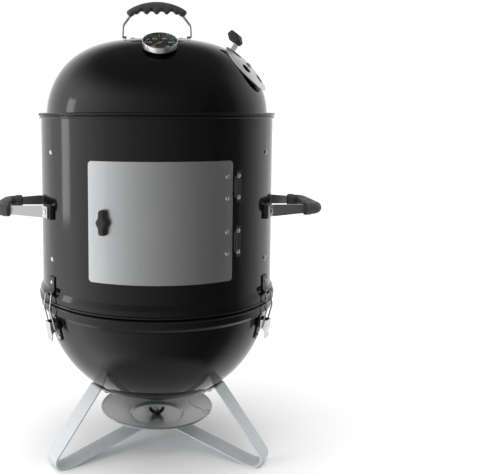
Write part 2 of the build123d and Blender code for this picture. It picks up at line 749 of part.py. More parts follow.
# ---- draw latches (made at the front, then turned) -------------------------
def latch_keeper():
    """Hook strip riveted to the barrel; the bail's bar sits in its upturned end."""
    path = FilletPolyline((231.3, 375), (231.3, 350), (236, 343), (243, 343), (243, 350), radius=1.2)
    keeper = bent_strip(path, 2, 20)
    return keeper - outward_frame(0, BARREL_R, KEEPER_RIVET_Z).location * disc(2, -5, 8)


def latch_base():
    """Tapered plate on the bowl with two ears for the lever's pin."""
    frame = base_frame()
    outline = Polygon((8, -6), (8, 6), (-32, 11), (-36, 9), (-36, -9), (-32, -11), align=None)
    plate = frame.location * extrude(Plane.XY.offset(0.6) * outline, amount=2)
    plate -= frame.location * disc(2.5, -5, 8)
    pivot_r, pivot_z = LEVER_PIVOT
    root_low = (bowl_surface_r(272) + 1.2, 272)
    root_high = (bowl_surface_r(293) + 1.2, 293)
    ear = [root_low, (pivot_r + 1, pivot_z - 5), (pivot_r + 4.5, pivot_z - 2), (pivot_r + 4.5, pivot_z + 2)]
    ear += [(pivot_r + 1, pivot_z + 5), root_high]
    ears = radial_plate(ear, 18) - radial_plate(ear, 14)
    return plate + ears - pivot_hole(PIN_R)


def pivot_hole(radius, drop=0.0):
    """Tangential cylinder on the lever's pivot, or lower by drop."""
    pivot_r, pivot_z = LEVER_PIVOT
    centre = (0, -pivot_r, pivot_z - drop)
    return Plane(origin=centre, x_dir=(0, -1, 0), z_dir=(1, 0, 0)) * Pos(0, 0, -20) * disc(radius, 0, 40)


def latch_pin():
    return pivot_hole(PIN_R) & (Pos(0, -LEVER_PIVOT[0], LEVER_PIVOT[1]) * Box(22.2, 30, 30))


def latch_lever():
    """Channel on the pin with a face plate that ends in a finger lip."""
    r, z = LEVER_PIVOT
    cheek = [(r + 9.5, z + 4), (r - 3.5, z + 4), (r - 4, z - 13), (r + 1, z - 15), (r + 5.6, z - 20), (r + 8.6, z - 8)]
    cheeks = radial_plate(cheek, 22.2) - radial_plate(cheek, 19.2)
    path = FilletPolyline((r + 9, z + 4), (r + 8, z - 8), (r + 4, z - 22), (r + 5.5, z - 31), radius=5)
    face = bent_strip(path, 1.5, 22.2)
    return cheeks + face - pivot_hole(PIN_R + RUN) - pivot_hole(BAIL_WIRE_R + RUN, BAIL_DROP)


def latch_bail():
    """Wire loop from the lever's cheeks over the seam to the keeper's hook."""
    r, z = LEVER_PIVOT
    half = BAIL_HALF_WIDTH
    side = [(-9.3, -r, z - BAIL_DROP), (-half, -r, z - BAIL_DROP), (-half, -(r + 10.5), z + 30)]
    side += [(-half, -238.6, 345.9)]
    points = side + [(-x, y, height) for x, y, height in reversed(side)]
    path = FilletPolyline(*points, radius=[1.8, 8, 2.4, 2.4, 8, 1.8])
    return sweep(Plane(origin=path @ 0, z_dir=path % 0) * Circle(BAIL_WIRE_R), path=path)


def latch_rivets():
    """Rivets of the keepers and of the latch bases."""
    keeper = outward_frame(0, 232.4, KEEPER_RIVET_Z).location * domed_bolt(4, 2, 2, 6, 3.4, 1.4)
    base = base_frame().location * (Pos(0, 0, 2.7) * domed_bolt(5, 2.8, 2.5, 10.6, 4.2, 2))
    return group(turned(piece, azimuth) for azimuth in TRIPOD.values() for piece in (keeper, base))


# ---- legs, ash pan, bottom damper -----------------------------------------
def tangent_point(point, centre, radius, side):
    """Point where a line from an outside point touches a circle."""
    dx = point[0] - centre[0]
    dy = point[1] - centre[1]
    angle = atan2(dy, dx) + side * acos(radius / hypot(dx, dy))
    return (centre[0] + radius * cos(angle), centre[1] + radius * sin(angle))


def leg(stack_z):
    """Flat bar: end on the axis, inner limb, round foot, outer limb, pad on the bowl."""
    middle = stack_z + LEG_THICK / 2
    frame = leg_pad_frame()
    slope = atan2(bowl_surface_z(LEG_PAD_R + 0.1) - bowl_surface_z(LEG_PAD_R - 0.1), 0.2)
    offset = 0.8 + LEG_THICK / 2
    pad_r = LEG_PAD_R + offset * sin(slope)
    pad_z = frame.origin.Z - offset * cos(slope)
    pad_in = (pad_r - 17 * cos(slope), pad_z - 17 * sin(slope))
    pad_out = (pad_r + 17 * cos(slope), pad_z + 17 * sin(slope))
    bend_centre = (FOOT_R, FOOT_BEND_R + LEG_THICK / 2)
    low = (FOOT_R, LEG_THICK / 2)
    high = tangent_point(pad_out, bend_centre, FOOT_BEND_R, -1)
    outermost = (FOOT_R + FOOT_BEND_R * cos(radians(-20)), bend_centre[1] + FOOT_BEND_R * sin(radians(-20)))
    heel = (FOOT_R - FOOT_FLAT, LEG_THICK / 2)
    inner_limb = FilletPolyline((0, middle), (30, middle), heel, low, radius=10)
    outer_limb = FilletPolyline(high, pad_out, pad_in, radius=5)
    path = Wire([*inner_limb.edges(), ThreePointArc(low, outermost, high), *outer_limb.edges()])
    bar = bent_strip(path, LEG_THICK, LEG_WIDTH)
    bar += extrude(Plane.XY.offset(stack_z) * Circle(LEG_WIDTH / 2), amount=LEG_THICK)
    bar -= disc(M6_R, stack_z - 2, stack_z + LEG_THICK + 2)
    for side in (-11, 11):
        bar -= frame.location * (Pos(0, side, 0) * disc(M6_R, -12, 12))
    return bar


def leg_bolts():
    bolt = Pos(0, 0, 4.0) * domed_bolt(6, 3.4, M6_R, 12.5)
    bolts = []
    for azimuth in TRIPOD.values():
        for side in (-11, 11):
            bolts.append(turned(leg_pad_frame().location * (Pos(0, side, 0) * bolt), azimuth))
    return group(bolts)


PAN_Z = LEG_STACK_Z + 3 * LEG_THICK


def ash_pan():
    """Shallow pressed dish with a flat middle and a rolled rim."""
    r, z = PAN_RIM
    line = [(M6_R, PAN_Z), (52, PAN_Z), (57, PAN_Z + 4), (r, z - 1.2), (r, z), (57, PAN_Z + 5.4)]
    line += [(51, PAN_Z + 1.3), (M6_R, PAN_Z + 1.3)]
    return spun(polygon(line) + Pos(r, z) * Circle(1.8))


def centre_bolt():
    head = Plane.XY.offset(LEG_STACK_Z - 4.2) * RegularPolygon(5, 6, major_radius=False)
    return extrude(head, amount=4.2) + disc(M6_R, LEG_STACK_Z - 0.1, PAN_Z + 16)


def wing_nut():
    """Round boss with two upright ears."""
    base = PAN_Z + 1.4
    ear = Polygon((3, 0), (8, 1), (15, 8), (16.5, 14), (12, 15.5), (6, 8), (3, 7), align=None)
    ears = extrude(Plane.XZ * (Pos(0, base) * (ear + mirror(ear, about=Plane.YZ))), amount=1.6, both=True)
    return disc(6.5, base, base + 7.5) + ears - disc(M6_R, base - 1, base + 20)


DAMPER_TOP = bowl_surface_z(BOWL_FLAT_R) - GAP
DAMPER_THICK = 1.5
LEVER_AZIMUTH = 56.0


def bottom_damper():
    plate = disc(56, DAMPER_TOP - DAMPER_THICK, DAMPER_TOP, M6_R + RUN)
    for hole in air_holes():
        plate -= hole
    return plate


def damper_lever():
    """Thin rod welded under the damper, with a ring at its outer end."""
    z = DAMPER_TOP - DAMPER_THICK - 1.5
    points = [(0, -16, z), (0, -58, z), (0, -86, z - 17), (0, -112, z - 21)]
    rod_part = bent_wire(points, 12, 1.5)
    ring = Pos(0, -118.2, z - 21.6) * (Rot(8, 0, 0) * Torus(6.5, 1.5))
    return turned(rod_part + ring, LEVER_AZIMUTH)


def damper_rivet():
    low = DAMPER_TOP - DAMPER_THICK - GAP
    grip = DAMPER_THICK + 2 * GAP + SHEET + 0.1
    return Pos(0, 0, low) * (Rot(180, 0, 0) * domed_bolt(8, 3, M6_R, grip + 2, 8, 2))


def charcoal_grate_z():
    return CHARCOAL_Z - 2 + GAP + 2.5


def lower_grate_z():
    return LOWER_SHELF_Z + GAP + 2.5


# ---- all nodes ---------------------------------------------------------------
def build_nodes():
    """Every sub-part by its node name."""
    nodes = {
        "lid_shell": lid_shell(),
        "lid_handle_plate": lid_handle_plate(),
        "lid_handle_wire": lid_handle_wire(),
        "lid_handle_grip": lid_handle_grip(),
        "lid_handle_bolts": lid_handle_bolts(),
        "thermometer_case": thermometer_case(),
        "thermometer_dial": thermometer_dial(),
        "thermometer_glass": thermometer_glass(),
        "thermometer_stem": thermometer_stem(),
        "thermometer_nut": thermometer_nut(),
        "thermometer_needle": thermometer_needle(),
        "lid_vent_damper": lid_vent_damper(),
        "lid_vent_knob": lid_vent_knob(),
        "lid_vent_rivet": lid_vent_rivet(),
        "barrel_shell": barrel_shell(),
        "grate_brackets": grate_brackets(),
        "barrel_bolts": barrel_bolts(),
        "hex_nuts": hex_nuts(),
        "door_panel": door_panel(),
        "door_hinge_leaves": door_hinge_leaves(),
        "door_rivets": door_rivets(),
        "door_knob": door_knob(),
        "door_latch_tongue": door_latch_tongue(),
        "barrel_hinge_leaves": barrel_hinge_leaves(),
        "barrel_rivets": barrel_rivets(),
        "hinge_pins": hinge_pins(),
        "right_handle_strap": side_strap(),
        "left_handle_strap": mirrored(side_strap()),
        "right_handle_grip": side_grip(),
        "left_handle_grip": mirrored(side_grip()),
        "handle_pads": handle_pads(),
        "bowl_shell": bowl_shell(),
        "bowl_brackets": bowl_brackets(),
        "latch_keepers": at_all(latch_keeper(), TRIPOD.values()),
        "latch_bases": at_all(latch_base(), TRIPOD.values()),
        "latch_pins": at_all(latch_pin(), TRIPOD.values()),
        "latch_rivets": latch_rivets(),
        "leg_bolts": leg_bolts(),
        "ash_pan": ash_pan(),
        "centre_bolt": centre_bolt(),
        "wing_nut": wing_nut(),
        "bottom_damper": bottom_damper(),
        "damper_lever": damper_lever(),
        "damper_rivet": damper_rivet(),
        "water_pan": water_pan(lower_grate_z() + 5.6 + GAP),
    }
    main_grate = grate(GRATE_R, 2.5, 2.0)
    main_loops = group(grate_loops(GRATE_R, 2.5 + 2.0 - 0.9 + 2.0 + LOOP_WIRE_R * 0.64))
    for name, bolt_z in (("upper_grate", UPPER_BOLT_Z), ("middle_grate", MIDDLE_BOLT_Z)):
        nodes[name] = Pos(0, 0, bolt_z + 10 + GAP + 2.5) * main_grate
        nodes[f"{name}_loops"] = Pos(0, 0, bolt_z + 10 + GAP + 2.5) * main_loops
    lower_loops = grate_loops(LOWER_GRATE_R, 2.5 + 2.0 - 0.9 + 2.0 + LOOP_WIRE_R * 0.64)
    nodes["lower_grate"] = Pos(0, 0, lower_grate_z()) * group([grate(LOWER_GRATE_R, 2.5, 2.0), *lower_loops])
    nodes["charcoal_grate"] = Pos(0, 0, charcoal_grate_z()) * grate(CHARCOAL_GRATE_R, 2.5, 2.5)
    for step, (place, azimuth) in enumerate(TRIPOD.items()):
        nodes[f"leg_{place}"] = turned(leg(LEG_STACK_Z + step * LEG_THICK), azimuth)
        nodes[f"latch_lever_{place}"] = turned(latch_lever(), azimuth)
        nodes[f"latch_bail_{place}"] = turned(latch_bail(), azimuth)
    return nodes


os.makedirs("parts", exist_ok=True)
for node, shape in build_nodes().items():
    export_step(shape, f"parts/{node}.step")
    print(node, len(shape.solids()), "solids", round(shape.volume / 1000, 2), "cm3")
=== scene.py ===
# %% [markdown]
# # A vertical water smoker
# The smoker is an upright steel cooker: a round fire bowl on three bent flat legs, a tall barrel with a
# door, and a domed lid. The shapes that move and carry load come from the CAD frame. This lesson gives
# them their finishes, and models the moulded, printed and repeated pieces that need a softer
# or finer shape than the frame has.

# %% Load the frame
import json
import math

import bmesh
import bpy
from mathutils import Matrix, Vector

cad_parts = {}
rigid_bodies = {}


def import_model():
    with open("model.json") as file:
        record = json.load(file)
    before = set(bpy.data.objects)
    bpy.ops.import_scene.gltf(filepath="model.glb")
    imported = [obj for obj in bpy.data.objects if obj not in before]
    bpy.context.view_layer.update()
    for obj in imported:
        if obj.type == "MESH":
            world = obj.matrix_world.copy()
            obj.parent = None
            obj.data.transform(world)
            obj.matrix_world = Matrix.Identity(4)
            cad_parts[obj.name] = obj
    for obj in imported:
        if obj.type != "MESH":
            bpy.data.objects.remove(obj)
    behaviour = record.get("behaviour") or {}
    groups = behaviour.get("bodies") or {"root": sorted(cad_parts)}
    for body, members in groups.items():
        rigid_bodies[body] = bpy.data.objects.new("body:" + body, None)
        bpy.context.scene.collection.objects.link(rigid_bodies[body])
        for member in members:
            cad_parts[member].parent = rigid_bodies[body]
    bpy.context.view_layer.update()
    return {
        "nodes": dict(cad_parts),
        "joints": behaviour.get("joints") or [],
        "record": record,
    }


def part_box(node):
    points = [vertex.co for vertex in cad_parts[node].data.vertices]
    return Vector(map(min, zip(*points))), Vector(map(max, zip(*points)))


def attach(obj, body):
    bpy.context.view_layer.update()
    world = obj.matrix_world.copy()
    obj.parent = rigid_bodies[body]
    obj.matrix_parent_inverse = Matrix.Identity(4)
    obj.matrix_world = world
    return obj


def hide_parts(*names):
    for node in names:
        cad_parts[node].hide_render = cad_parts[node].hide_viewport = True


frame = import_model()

JOINTS = {joint["name"]: joint for joint in frame["joints"]}

# %% [markdown]
# ## Writing surface patterns as sums
# A finish is a small network of nodes. Written out link by link it is hard to read, so a varying number
# is wrapped in a class that understands +, - and *. Each sum then adds its own Math node, and the
# recipe of a finish reads like a formula. Plain numbers are worked out in Python and add no node.


# %% A varying number
class Amount:
    """A number that varies over a surface; sums with it add Math nodes."""

    def __init__(self, finish, socket):
        self.finish = finish
        self.socket = socket

    def _sum(self, operation, first, second):
        node = self.finish.node("ShaderNodeMath", {"operation": operation}, {0: first, 1: second})
        return Amount(self.finish, node.outputs[0])

    def __add__(self, other):
        return self._sum("ADD", self, other)

    def __radd__(self, other):
        return self._sum("ADD", other, self)

    def __sub__(self, other):
        return self._sum("SUBTRACT", self, other)

    def __rsub__(self, other):
        return self._sum("SUBTRACT", other, self)

    def __mul__(self, other):
        return self._sum("MULTIPLY", self, other)

    def __rmul__(self, other):
        return self._sum("MULTIPLY", other, self)

    def between(self, low, high):
        """0 below low, 1 above high, and a soft step between."""
        settings = {"interpolation_type": "SMOOTHSTEP"}
        limits = {"Value": self, "From Min": low, "From Max": high}
        node = self.finish.node("ShaderNodeMapRange", settings, limits)
        return Amount(self.finish, node.outputs["Result"])


# %% [markdown]
# ## A finish
# A finish owns one material. Every node is made by one method, which sets the node's own settings first
# and then fills or links its sockets. The patterns read Object coordinates, in metres, so a grain keeps
# its real size on a rivet and on the barrel, and stays put when a part moves.


# %% The finish class
class Finish:
    """One procedural material, built from patterns in metres."""

    def __init__(self, name):
        self.material = bpy.data.materials.new(name)
        self.material.use_nodes = True
        self.tree = self.material.node_tree
        self.tree.nodes.clear()
        self.place = self.node("ShaderNodeTexCoord").outputs["Object"]

    def node(self, kind, settings=None, values=None):
        made = self.tree.nodes.new(kind)
        for key, value in (settings or {}).items():
            if key == "stops":
                ramp = made.color_ramp
                while len(ramp.elements) < len(value):
                    ramp.elements.new(1.0)
                for element, (position, colour) in zip(ramp.elements, value):
                    element.position = position
                    element.color = (*colour, 1.0)
            else:
                setattr(made, key, value)
        for key, value in (values or {}).items():
            self.fill(made.inputs[key], value)
        return made

    def fill(self, socket, value):
        source = value.socket if isinstance(value, Amount) else value
        if isinstance(source, bpy.types.NodeSocket):
            self.tree.links.new(source, socket)
        elif isinstance(source, tuple) and socket.type == "RGBA" and len(source) == 3:
            socket.default_value = (*source, 1.0)
        else:
            socket.default_value = source

    def stretched(self, stretch):
        """Object coordinates multiplied by stretch along each axis."""
        return self.node("ShaderNodeMapping", None, {"Vector": self.place, "Scale": stretch}).outputs[0]

    def noise(self, scale, detail=3.0, stretch=(1, 1, 1), rough=0.5):
        values = {"Vector": self.stretched(stretch), "Scale": scale, "Detail": detail, "Roughness": rough}
        return Amount(self, self.node("ShaderNodeTexNoise", None, values).outputs["Fac"])

    def cells(self, scale):
        values = {"Vector": self.place, "Scale": scale}
        return Amount(self, self.node("ShaderNodeTexVoronoi", None, values).outputs["Distance"])

    def from_axis(self):
        """Distance from the smoker's upright axis."""
        flat = self.stretched((1, 1, 0))
        length = self.node("ShaderNodeVectorMath", {"operation": "LENGTH"}, {0: flat})
        return Amount(self, length.outputs["Value"])

    def tint(self, mask, low, high):
        """Colour that goes from low to high as mask goes from 0 to 1."""
        values = {"Factor": mask, "A": low, "B": high}
        node = self.tree.nodes.new("ShaderNodeMix")
        node.data_type = "RGBA"
        for socket in node.inputs:
            if socket.enabled and socket.name in values:
                self.fill(socket, values[socket.name])
        return next(socket for socket in node.outputs if socket.enabled)

    def relief(self, height, depth):
        """Bump of a height from 0 to 1, depth metres high."""
        values = {"Height": height, "Distance": depth, "Strength": 1.0}
        return self.node("ShaderNodeBump", None, values).outputs["Normal"]

    def surface(self, **values):
        """Principled shader with its sockets named by words joined with an underscore."""
        named = {key.replace("_", " "): value for key, value in values.items()}
        shader = self.node("ShaderNodeBsdfPrincipled", None, named)
        self.node("ShaderNodeOutputMaterial", None, {"Surface": shader.outputs[0]})
        return self.material


print("finish class ready")

# %% [markdown]
# ## Vitreous enamel
# Lid, barrel and bowl are pressed steel with black glass fused on. The glass is very dark, with a gloss
# that is a little uneven, because it flowed while it was hot. A faint long wave and a fine orange peel
# in the bump give that. The inside of the shells and the water pan have the same coat.


# %% Enamel
def enamel(name, gloss, waviness):
    finish = Finish(name)
    wave = finish.noise(14, 2)
    peel = finish.noise(320, 2)
    specks = finish.noise(1400, 1).between(0.70, 0.80)
    cloud = finish.noise(5, 3)
    colour = finish.tint(specks * 0.5 + cloud * 0.35, (0.0015, 0.0015, 0.0018), (0.0055, 0.0055, 0.006))
    normal = finish.relief(wave * 0.9 + peel * 0.1, waviness)
    roughness = gloss + cloud * 0.06 + specks * 0.1
    return finish.surface(Base_Color=colour, Roughness=roughness, Normal=normal, IOR=1.5,
                          Specular_IOR_Level=0.42)


black_enamel = enamel("black_enamel", 0.07, 0.00030)
pan_enamel = enamel("pan_enamel", 0.22, 0.0003)
print("enamel made")

# %% [markdown]
# ## Brushed and rolled metals
# Brushing leaves long fine scratches in one direction. Noise that is stretched along that direction
# gives both the streaks of tone and the relief that breaks a reflection up. The door is brushed up and
# down, the handle straps along their length, and the ash pan is spun, so its lines are rings.


# %% Brushed metals
def brushed(name, dark, light, stretch, roughness, metallic, depth, fleck):
    finish = Finish(name)
    fine = finish.noise(1, 4, stretch, 0.65)
    broad = finish.noise(9, 3)
    mask = fine * 0.75 + broad * 0.25
    colour = finish.tint(mask, dark, light)
    smudge = finish.noise(16, 4).between(0.45, 0.75)
    rough = roughness + fine * 0.12 + smudge * fleck
    return finish.surface(Base_Color=colour, Metallic=metallic, Roughness=rough,
                          Normal=finish.relief(fine, depth))


door_steel = brushed("door_steel", dark=(0.46, 0.47, 0.48), light=(0.66, 0.665, 0.67),
                     stretch=(1500, 1500, 22), roughness=0.24, metallic=0.95, depth=0.00003, fleck=0.05)
bright_steel = brushed("bright_steel", dark=(0.60, 0.60, 0.61), light=(0.80, 0.80, 0.81),
                       stretch=(60, 60, 1500), roughness=0.24, metallic=1.0, depth=0.00003, fleck=0.08)
vent_steel = brushed("vent_steel", dark=(0.66, 0.66, 0.67), light=(0.86, 0.86, 0.86),
                     stretch=(900, 900, 900), roughness=0.30, metallic=1.0, depth=0.00002, fleck=0.05)


def spun_metal(name, dark, light, roughness, metallic):
    """Metal turned on a spinning form, with rings round the upright axis."""
    finish = Finish(name)
    radius = finish.from_axis()
    ring_place = finish.node("ShaderNodeCombineXYZ", None, {0: radius * 900, 1: 0.0, 2: 0.0}).outputs[0]
    ring_values = {"Vector": ring_place, "Scale": 1.0, "Detail": 4.0}
    rings = Amount(finish, finish.node("ShaderNodeTexNoise", None, ring_values).outputs["Fac"])
    stain = finish.noise(22, 5, rough=0.6).between(0.35, 0.75)
    colour = finish.tint(rings * 0.6 + stain * 0.4, dark, light)
    rough = roughness + rings * 0.12 + stain * 0.08
    return finish.surface(Base_Color=colour, Metallic=metallic, Roughness=rough,
                          Normal=finish.relief(rings, 0.00006))


ash_pan_steel = spun_metal("ash_pan_steel", (0.40, 0.405, 0.41), (0.62, 0.625, 0.63), 0.30, 0.9)
bezel_chrome = spun_metal("bezel_chrome", (0.74, 0.74, 0.75), (0.86, 0.86, 0.87), 0.10, 1.0)


def galvanised(name, dark, light):
    """Zinc-dipped bar: pale, bluish, with faint crystal flowers."""
    finish = Finish(name)
    flowers = finish.cells(170)
    grain = finish.noise(900, 3)
    cloud = finish.noise(26, 4)
    colour = finish.tint(flowers * 0.45 + cloud * 0.45 + grain * 0.15, dark, light)
    rough = 0.34 + cloud * 0.16 + grain * 0.06
    return finish.surface(Base_Color=colour, Metallic=0.20, Roughness=rough,
                          Normal=finish.relief(grain * 0.7 + flowers * 0.3, 0.00006))


leg_zinc = galvanised("leg_zinc", (0.50, 0.53, 0.55), (0.66, 0.69, 0.71))
print("brushed, spun and zinc finishes made")

# %% [markdown]
# ## Plated wire and fasteners
# Grates, bails and the lid handle are plated wire, which is nearly a mirror. Long drawing lines from
# the die and slightly dull patches keep it from looking like liquid. Bolts and rivets are bright zinc,
# rougher than the wire, with a few darker spots.


# %% Plated wire, zinc and painted steel
def plated(name, dark, light, roughness, spots):
    finish = Finish(name)
    dull = finish.noise(60, 4)
    fine = finish.noise(1200, 2)
    pits = finish.cells(700).between(0.02, 0.16)
    colour = finish.tint(dull * 0.6 + fine * 0.2 + pits * 0.2, dark, light)
    rough = roughness + dull * 0.10 + (1 - pits) * spots
    return finish.surface(Base_Color=colour, Metallic=1.0, Roughness=rough,
                          Normal=finish.relief(fine * 0.8 + pits * 0.2, 0.00003))


chrome_wire = plated("chrome_wire", (0.62, 0.62, 0.63), (0.84, 0.84, 0.85), 0.10, 0.06)
zinc_fastener = plated("zinc_fastener", (0.56, 0.56, 0.56), (0.80, 0.80, 0.79), 0.22, 0.14)


def painted_steel(name, dark, light, roughness):
    finish = Finish(name)
    mottle = finish.noise(40, 4)
    grain = finish.noise(1500, 2)
    worn = finish.noise(150, 5, rough=0.7).between(0.68, 0.74)
    colour = finish.tint(mottle * 0.6 + worn * 0.5, dark, light)
    return finish.surface(Base_Color=colour, Metallic=0.1, Roughness=roughness + grain * 0.12,
                          Normal=finish.relief(grain, 0.00005))


black_steel = painted_steel("black_steel", (0.010, 0.010, 0.011), (0.035, 0.035, 0.037), 0.34)
print("wire, zinc and painted finishes made")

# %% [markdown]
# ## Moulded plastic
# The grips and knobs are moulded from heat-proof resin. The mould is etched with a fine leather-like
# grain, which is small closed cells with soft valleys, and the tops wear a little smoother and lighter
# where hands hold them.


# %% Moulded plastic
def moulded(name, dark, light, roughness):
    finish = Finish(name)
    etched = finish.cells(1100).between(0.0, 0.7)
    grain = finish.noise(2400, 2)
    rubbed = finish.noise(34, 4).between(0.4, 0.8)
    colour = finish.tint(rubbed * 0.7 + grain * 0.3, dark, light)
    return finish.surface(Base_Color=colour, Roughness=roughness - rubbed * 0.10 + grain * 0.08,
                          Normal=finish.relief(etched * 0.7 + grain * 0.3, 0.00008), Specular_IOR_Level=0.45)


grip_resin = moulded("grip_resin", (0.040, 0.042, 0.045), (0.080, 0.083, 0.088), 0.52)
knob_resin = moulded("knob_resin", (0.010, 0.010, 0.011), (0.030, 0.030, 0.032), 0.44)
print("plastic made")


# %% Dial finishes
def dial_paint(name, dark, light, roughness):
    finish = Finish(name)
    grain = finish.noise(1600, 3)
    return finish.surface(Base_Color=finish.tint(grain, dark, light), Roughness=roughness + grain * 0.1,
                          Normal=finish.relief(grain, 0.00002))


dial_black = dial_paint("dial_black", (0.008, 0.008, 0.009), (0.020, 0.020, 0.022), 0.45)
dial_white = dial_paint("dial_white", (0.60, 0.60, 0.58), (0.74, 0.74, 0.71), 0.5)
needle_red = dial_paint("needle_red", (0.60, 0.10, 0.03), (0.80, 0.20, 0.06), 0.35)


def clear_glass(name):
    finish = Finish(name)
    smear = finish.noise(70, 4).between(0.4, 0.9)
    clear = finish.node("ShaderNodeBsdfTransparent", None, {"Color": (0.93, 0.95, 0.95)})
    gloss_values = {"Base Color": finish.tint(smear, (0.5, 0.52, 0.53), (0.7, 0.72, 0.72)),
                    "Roughness": 0.04 + smear * 0.05, "Metallic": 1.0}
    gloss = finish.node("ShaderNodeBsdfPrincipled", None, gloss_values)
    facing = Amount(finish, finish.node("ShaderNodeLayerWeight", None, {"Blend": 0.5}).outputs["Facing"])
    share = facing * 0.16 + 0.02 + smear * 0.015
    pane = finish.node("ShaderNodeMixShader", None, {0: share, 1: clear.outputs[0], 2: gloss.outputs[0]})
    finish.node("ShaderNodeOutputMaterial", None, {"Surface": pane.outputs[0]})
    return finish.material


dial_glass = clear_glass("dial_glass")
print("dial finishes made")

# %% [markdown]
# ## Giving each part its finish
# The record already says which material slot every node uses. One table turns a slot into a finish, and
# a second table names the few nodes whose surface was worked differently from the rest of their slot.

# %% Finishes on the frame's own parts
SLOT_FINISH = {
    "black_enamel": black_enamel, "door_steel": door_steel, "bright_steel": bright_steel,
    "chrome_wire": chrome_wire, "galvanised": leg_zinc, "zinc_fastener": zinc_fastener,
    "grey_plastic": grip_resin, "black_plastic": knob_resin, "black_steel": black_steel,
    "dial_face": dial_black, "needle": needle_red, "glass": dial_glass,
}
NODE_FINISH = {"ash_pan": ash_pan_steel, "thermometer_case": bezel_chrome, "lid_vent_damper": vent_steel,
               "bottom_damper": ash_pan_steel, "water_pan": pan_enamel}
SLOTS = {row["node"]: row["material_slot"] for row in frame["record"]["subparts"]}
for name, node in frame["nodes"].items():
    finish = NODE_FINISH.get(name, SLOT_FINISH[SLOTS[name]])
    node.data.materials.clear()
    node.data.materials.append(finish)
print("finishes on", len(SLOTS), "nodes")

# %% [markdown]
# ## From points to a solid piece
# The moulded pieces are built from closed rings of points. Each ring is joined to the next with a band of
# faces, and the first and last ring are closed to a single point, so every piece is watertight. The
# points are in metres in the smoker's own frame, so the finished piece needs no placing.


# %% Rings into a mesh
def solid_from_rings(name, rings, finish, smooth=True):
    """Closed mesh through rings of equally many points, with a pole at each end."""
    shape = bmesh.new()
    rows = [[shape.verts.new(point) for point in ring] for ring in rings]
    count = len(rows[0])
    for lower, upper in zip(rows, rows[1:]):
        for here in range(count):
            after = (here + 1) % count
            shape.faces.new((lower[here], lower[after], upper[after], upper[here]))
    for row, order in ((rows[0], -1), (rows[-1], 1)):
        pole = shape.verts.new(sum((vertex.co for vertex in row), Vector()) / count)
        for here in range(count):
            edge = (row[here], row[(here + 1) % count])[::order]
            shape.faces.new((*edge, pole))
    bmesh.ops.recalc_face_normals(shape, faces=shape.faces)
    mesh = bpy.data.meshes.new(name)
    shape.to_mesh(mesh)
    shape.free()
    return new_piece(name, mesh, finish, smooth)


def new_piece(name, mesh, finish, smooth=True):
    """Object at the origin with one finish."""
    mesh.materials.clear()
    mesh.materials.append(finish)
    if smooth:
        mesh.shade_smooth()
        mesh.set_sharp_from_angle(angle=math.radians(42))
    piece = bpy.data.objects.new(name, mesh)
    bpy.context.scene.collection.objects.link(piece)
    return piece


def surface_frame(joint, flip=1.0):
    """Frame on a joint: z along its axis, x straight downhill."""
    normal = Vector(JOINTS[joint]["axis"]) * flip
    downhill = (Vector((0, 0, -1)) + normal * normal.z).normalized()
    side = normal.cross(downhill)
    placed = Matrix((downhill, side, normal)).transposed().to_4x4()
    placed.translation = Vector(JOINTS[joint]["pos_m"])
    return placed


print("ring builder ready")

# %% [markdown]
# ## Geometry Nodes by formula
# Geometry Nodes can also be written as sums. The class below wraps a field socket, so the rule of a shape
# reads like the formula on paper. Each tree gets named inputs for its sizes, and ends by turning its
# instances into real mesh and giving it the finish.


# %% The shape class
class Shape:
    """A Geometry Nodes tree with named sizes, run once and turned into a plain mesh."""

    def __init__(self, name, **sizes):
        self.tree = bpy.data.node_groups.new(name, "GeometryNodeTree")
        self.tree.interface.new_socket(name="Geometry", in_out="OUTPUT", socket_type="NodeSocketGeometry")
        self.sizes = sizes
        self.ids = {}
        for key in sizes:
            kind = "NodeSocketInt" if isinstance(sizes[key], int) else "NodeSocketFloat"
            socket = self.tree.interface.new_socket(name=key, in_out="INPUT", socket_type=kind)
            self.ids[key] = socket.identifier
        self.inlet = self.tree.nodes.new("NodeGroupInput")

    def size(self, key):
        return Field(self, next(socket for socket in self.inlet.outputs if socket.name == key))

    def node(self, kind, settings=None, values=None):
        made = self.tree.nodes.new(kind)
        for key, value in (settings or {}).items():
            setattr(made, key, value)
        for key, value in (values or {}).items():
            source = value.socket if isinstance(value, Field) else value
            if isinstance(source, bpy.types.NodeSocket):
                self.tree.links.new(source, made.inputs[key])
            else:
                made.inputs[key].default_value = source
        return made

    def vector(self, x, y, z):
        return self.node("ShaderNodeCombineXYZ", None, {0: x, 1: y, 2: z}).outputs[0]

    def position(self, axis):
        place = self.node("GeometryNodeInputPosition").outputs[0]
        return Field(self, self.node("ShaderNodeSeparateXYZ", None, {0: place}).outputs[axis])

    def build(self, name, geometry, finish, smooth=True):
        real = self.node("GeometryNodeRealizeInstances", None, {0: geometry}).outputs[0]
        painted = self.node("GeometryNodeSetMaterial", None, {"Geometry": real, "Material": finish}).outputs[0]
        outlet = self.tree.nodes.new("NodeGroupOutput")
        self.tree.links.new(painted, outlet.inputs[0])
        seed = bpy.data.objects.new(name + "_seed", bpy.data.meshes.new(name + "_seed"))
        bpy.context.scene.collection.objects.link(seed)
        modifier = seed.modifiers.new("shape", "NODES")
        modifier.node_group = self.tree
        for key, value in self.sizes.items():
            modifier[self.ids[key]] = value
        evaluated = seed.evaluated_get(bpy.context.evaluated_depsgraph_get())
        mesh = bpy.data.meshes.new_from_object(evaluated)
        mesh.name = name
        seed.modifiers.clear()
        bpy.data.objects.remove(seed)
        return new_piece(name, mesh, finish, smooth)


